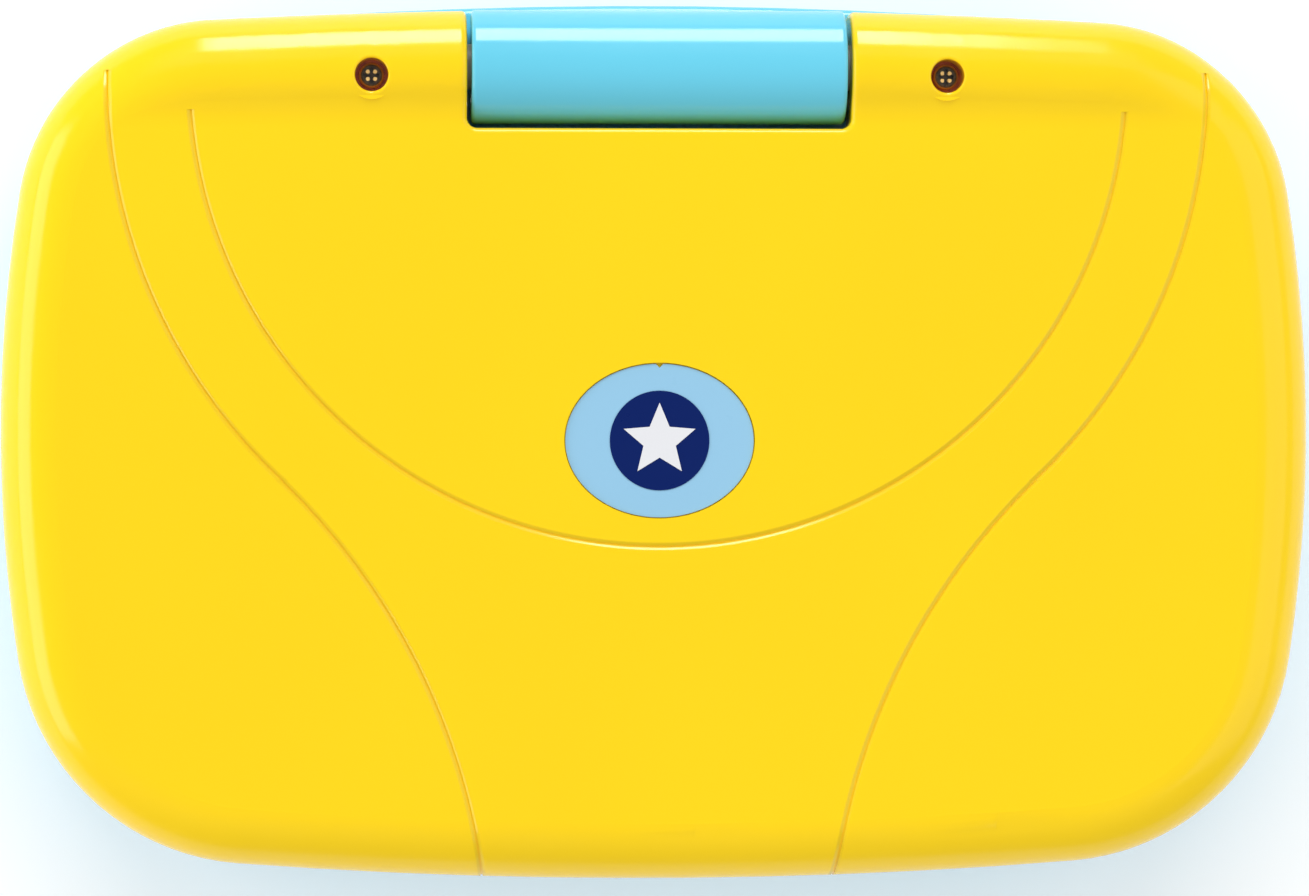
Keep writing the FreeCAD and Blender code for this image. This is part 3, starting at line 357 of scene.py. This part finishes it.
def deck_print():
    """A pale blue sticker with a row of dots over a wavy stripe."""
    made = Material("deck_print", linear(255, 255, 255), 0.3)
    x, y, _ = middle("deck_label")
    turn = made.math("SINE", made.math("MULTIPLY", made.x, STRIPE_RADIANS_PER_METRE))
    wave = made.math("MULTIPLY", turn, STRIPE_WAVE)
    off = made.math("SUBTRACT", made.math("SUBTRACT", made.y, y), wave)
    stripe = made.step(made.math("ABSOLUTE", off), *STRIPE_HALF_WIDTH)
    ground = made.mottle(linear(150, 208, 238), linear(162, 216, 242), 60.0)
    colour = made.mix(stripe, ground, linear(236, 240, 244))
    for right, rgb in DOTS:
        from_dot = made.distance(made.x, made.y, (x + right, y + DOTS_UP))
        colour = made.mix(made.step(from_dot, *DOT_RADIUS), colour, linear(*rgb))
    made.paint(colour)
    made.vary_roughness(0.25, 0.35, 150.0)
    made.bump(made.noise(1500.0), 0.006 * MM)
    return made


def circuit_board():
    """Green solder mask with faint tracks and tinned pads."""
    made = Material("circuit_board", linear(20, 90, 50), 0.35)
    greens = linear(26, 104, 58), linear(22, 96, 54), linear(12, 66, 38)
    tracks = made.node("TexBrick", made.where, *greens)
    tracks.inputs["Scale"].default_value = 120.0
    tracks.inputs["Mortar Size"].default_value = 0.03
    dots = made.node("TexVoronoi", made.where)
    dots.inputs["Scale"].default_value = 170.0
    pad = made.step(dots.outputs["Distance"], 0.16, 0.12)
    made.paint(made.mix(pad, tracks.outputs["Color"], linear(196, 190, 170)))
    made.vary_roughness(0.28, 0.42, 400.0)
    made.bump(tracks.outputs["Fac"], 0.02 * MM)
    return made


# Where along a cell, from its middle to its nub, its copper band and its bare end start
CELL_COPPER_FROM = (11.8 * MM, 12.0 * MM)
CELL_BARE_FROM = (26.6 * MM, 26.8 * MM)


def cell_jacket():
    """A dry cell's sleeve: black, then copper towards the nub, and bare metal at the end."""
    made = Material("cell_jacket", linear(30, 30, 32), 0.28, Metallic=0.6)
    _, y, _ = middle("battery_cells")
    way = made.math("SIGN", made.math("SUBTRACT", y, made.y))
    along = made.math("MULTIPLY", made.x, way)
    copper = made.mottle(linear(190, 112, 60), linear(206, 128, 74), 300.0)
    sleeve = made.mottle(linear(24, 24, 26), linear(34, 34, 38), 200.0)
    colour = made.mix(made.step(along, *CELL_COPPER_FROM), sleeve, copper)
    colour = made.mix(made.step(along, *CELL_BARE_FROM), colour, linear(205, 203, 198))
    made.paint(colour)
    made.vary_roughness(0.22, 0.36, 500.0)
    return made


PAPER_RADIANS_PER_METRE = 9000.0


def speaker_paper():
    """Pressed dark paper with fine rings round the middle."""
    made = Material("speaker_paper", linear(38, 36, 34), 0.85, Specular_IOR_Level=0.2)
    x, y, _ = middle("speaker_cone")
    away = made.distance(made.x, made.y, (x, y))
    rings = made.math("SINE", made.math("MULTIPLY", away, PAPER_RADIANS_PER_METRE))
    made.paint(made.mottle(linear(30, 28, 27), linear(52, 49, 46), 900.0))
    made.vary_roughness(0.75, 0.95, 600.0)
    made.bump(rings, 0.03 * MM)
    return made


def see_through(name, rgb, roughness, transmission=0.95):
    """Clear or tinted acrylic."""
    made = Material(name, linear(*rgb), roughness, IOR=1.49)
    made.shader.inputs["Transmission Weight"].default_value = transmission
    made.vary_roughness(roughness * 0.7, roughness * 1.5, 200.0)
    made.paint(made.mottle(darker(rgb, 0.97), linear(*rgb), 50.0))
    made.bump(made.noise(400.0), 0.004 * MM)
    return made


def dress(material, *nodes):
    """Give CAD nodes their finish."""
    for node in nodes:
        slots = NODES[node].data.materials
        slots.clear()
        slots.append(material.material)


# --- Finish of each part ----------------------------------------------------

BADGE_INKS = (
    ("badge_blue", (150, 200, 230), "badge_label"),
    ("badge_navy", (2, 30, 98), "badge_disc"),
    ("badge_white", (230, 231, 235), "badge_star"),
)
KEY_COLOURS = {
    "circle": (196, 30, 36), "square": (232, 112, 20), "triangle": (48, 146, 58),
    "star": (28, 80, 176), "heart": (206, 64, 118),
}


def finish_cases():
    dress(lid_yellow(), "lid_outer_shell")
    dress(gloss_plastic("case_blue", (104, 206, 233)),
          "base_top_case", "base_bottom_case", "lid_inner_bezel", "battery_door")
    dress(gloss_plastic("deck_yellow", (255, 190, 8), 0.97, 0.22), "deck_panel")
    for name, rgb, node in BADGE_INKS:
        ink = gloss_plastic(name, rgb, 0.98, 0.3)
        ink.shader.inputs["Specular IOR Level"].default_value = 0.15
        dress(ink, node)
    dress(lid_screw_finish(), "lid_screws")
    dress(metal("steel", (190, 188, 182)), "screen_board_screws", "board_screws",
          "speaker_screws", "base_case_screws", "battery_door_screws", "roller_axle",
          "contact_plates", "contact_springs")
    dress(satin_plastic("bush_plastic", (206, 206, 200)), "hinge_bush_right", "hinge_bush_left")
    dress(rubber("rubber_dark", (48, 48, 52)), "rubber_feet", "lid_bumpers")
    dress(rubber("cable_grey", (96, 98, 104)), "lid_cable", "base_cable")


def finish_screen():
    dress(see_through("clear_window", (250, 252, 253), 0.04), "screen_window")
    dress(picture(), "picture_panel")
    dress(satin_plastic("white_diffuser", (226, 226, 222), 0.5), "light_diffuser")
    dress(circuit_board(), "screen_board", "main_board", "light_board")
    dress(gloss_plastic("led_white", (222, 220, 196), 0.9), "screen_leds")


def finish_keyboard():
    for number, (shape, rgb) in enumerate(KEY_COLOURS.items(), 1):
        dress(gloss_plastic("key_" + shape, rgb, 0.94, 0.2), f"count_key_{number}", f"{shape}_key")
    piano = gloss_plastic("key_white", (220, 220, 214), 0.97, 0.2)
    dress(piano, *[f"piano_key_{number}" for number in range(1, 6)])
    dress(gloss_plastic("roller_purple", (112, 62, 168), 0.93, 0.2), "roller_drum")
    dress(satin_plastic("slider_orange", (236, 108, 24), 0.3), "power_slider")
    dress(deck_print(), "deck_label")
    dress(see_through("lens_red", (226, 40, 40), 0.12, 0.7), "star_light_lens")
    dress(see_through("led_clear", (240, 238, 230), 0.05, 0.9), "star_led")
    dress(satin_plastic("membrane_grey", (150, 152, 150), 0.6), "key_membrane")
    dress(satin_plastic("chip_black", (24, 24, 26), 0.45), "board_components", "power_switch")


def finish_speaker_and_cells():
    dress(metal("speaker_metal", (150, 150, 148), 0.35), "speaker_frame")
    dress(speaker_paper(), "speaker_cone")
    dress(satin_plastic("clamp_white", (210, 210, 204)), "speaker_clamp")
    dress(cell_jacket(), "battery_cells")


finish_cases()
finish_screen()
finish_keyboard()
finish_speaker_and_cells()


# --- Battery springs --------------------------------------------------------

COIL_WIRE_RADIUS = 0.3 * MM
COIL_TURNS = 5
COIL_STEPS = 16
COIL_RADIUS_AT_PLATE = 4.25 * MM
COIL_RADIUS_AT_CELL = 2.5 * MM
COIL_LENGTH = 6.5 * MM


def add_coil(curve, seat, way):
    """A conical spring of round wire, from its seat on the contact plate towards the cell."""
    spline = curve.splines.new("NURBS")
    count = COIL_TURNS * COIL_STEPS + 1
    spline.points.add(count - 1)
    for i, point in enumerate(spline.points):
        share = i / (count - 1)
        radius = COIL_RADIUS_AT_PLATE + share * (COIL_RADIUS_AT_CELL - COIL_RADIUS_AT_PLATE)
        angle = i * 2 * math.pi / COIL_STEPS
        along = COIL_WIRE_RADIUS + share * (COIL_LENGTH - 2 * COIL_WIRE_RADIUS)
        point.co = (seat[0] + way * along, seat[1] + radius * math.cos(angle),
                    seat[2] + radius * math.sin(angle), 1)
    spline.order_u = 4
    spline.use_endpoint_u = True


def make_battery_springs():
    """Two wound springs, one at each cell's flat end, in place of the plain cones."""
    low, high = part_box("contact_springs")
    outer = (high[2] - low[2]) / 2
    curve = bpy.data.curves.new("contact_coils", "CURVE")
    curve.dimensions = "3D"
    curve.bevel_depth = COIL_WIRE_RADIUS
    curve.bevel_resolution = 3
    curve.use_fill_caps = True
    add_coil(curve, (low[0], low[1] + outer, low[2] + outer), 1)
    add_coil(curve, (high[0], high[1] - outer, low[2] + outer), -1)
    curve.materials.append(metal("spring_steel", (196, 194, 188), 0.25).material)
    coils = bpy.data.objects.new("contact_coils", curve)
    SCENE.collection.objects.link(coils)
    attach(coils, "base")
    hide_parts("contact_springs")


make_battery_springs()


# --- Studio -----------------------------------------------------------------

WORLD_LIGHT = 0.5
FLOOR_GLOW = 0.15
FLOOR_HALF_WIDTH = 4.0
# Each light: its name, place, size and radiance, and what it shows in. The rear box only shows
# in the gloss, and the two fills only light the surfaces.
LIGHTS = (
    ("rear_box", (0, 1.02, 0.46), (0.46, 0.54), 12.5, "gloss"),
    ("left_box", (-0.95, 0.0, 0.32), (1.2, 0.48), 2.9, "both"),
    ("right_box", (0.80, 0.0, 0.62), (1.2, 0.80), 0.75, "both"),
    ("rear_fill", (0, 1.10, 1.05), (1.6, 1.0), 2.5, "diffuse"),
    ("front_fill", (0, -0.80, 0.95), (1.6, 0.80), 0.4, "diffuse"),
)


def area_light(name, place, size, radiance, seen_in):
    """A soft box that faces the lid."""
    data = bpy.data.lights.new(name, "AREA")
    data.shape = "RECTANGLE"
    data.size, data.size_y = size
    data.energy = radiance * math.pi * size[0] * size[1]
    light = bpy.data.objects.new(name, data)
    light.location = place
    light.visible_diffuse = seen_in != "gloss"
    light.visible_glossy = seen_in != "diffuse"
    SCENE.collection.objects.link(light)
    look_at(light, (0, 0, RIM_HEIGHT))


def make_floor():
    """A pale sheet, lit a little from below as on a product photographer's table."""
    half = FLOOR_HALF_WIDTH
    corners = [(-half, -half, 0), (half, -half, 0), (half, half, 0), (-half, half, 0)]
    floor = add_mesh("floor", corners, [(0, 1, 2, 3)])
    made = Material("floor_white", linear(245, 245, 245), 0.7, Specular_IOR_Level=0.2)
    made.vary_roughness(0.65, 0.75, 3.0)
    made.shader.inputs["Emission Color"].default_value = (1, 1, 1, 1)
    made.shader.inputs["Emission Strength"].default_value = FLOOR_GLOW
    floor.data.materials.append(made.material)


def make_studio():
    world = bpy.data.worlds.new("studio")
    world.use_nodes = True
    background = world.node_tree.nodes["Background"]
    background.inputs["Color"].default_value = (1, 1, 1, 1)
    background.inputs["Strength"].default_value = WORLD_LIGHT
    SCENE.world = world
    SCENE.view_settings.view_transform = "Standard"
    make_floor()
    for light in LIGHTS:
        area_light(*light)


def make_camera():
    data = bpy.data.cameras.new("camera")
    aim = Vector((*CAMERA_AIM, RIM_HEIGHT))
    data.sensor_width = SENSOR_MM
    data.lens = SENSOR_MM * CAMERA_DISTANCE / VIEW_WIDTH
    data.clip_start = 0.05
    back = Vector((-math.tan(CAMERA_LEAN_LEFT), 0, 1)).normalized()
    right = Vector((0, 1, 0)).cross(back).normalized()
    up = back.cross(right)
    camera = bpy.data.objects.new("camera", data)
    camera.matrix_world = Matrix.LocRotScale(
        aim + back * CAMERA_DISTANCE, Matrix((right, up, back)).transposed(), None)
    SCENE.collection.objects.link(camera)
    SCENE.camera = camera


make_studio()
make_camera()
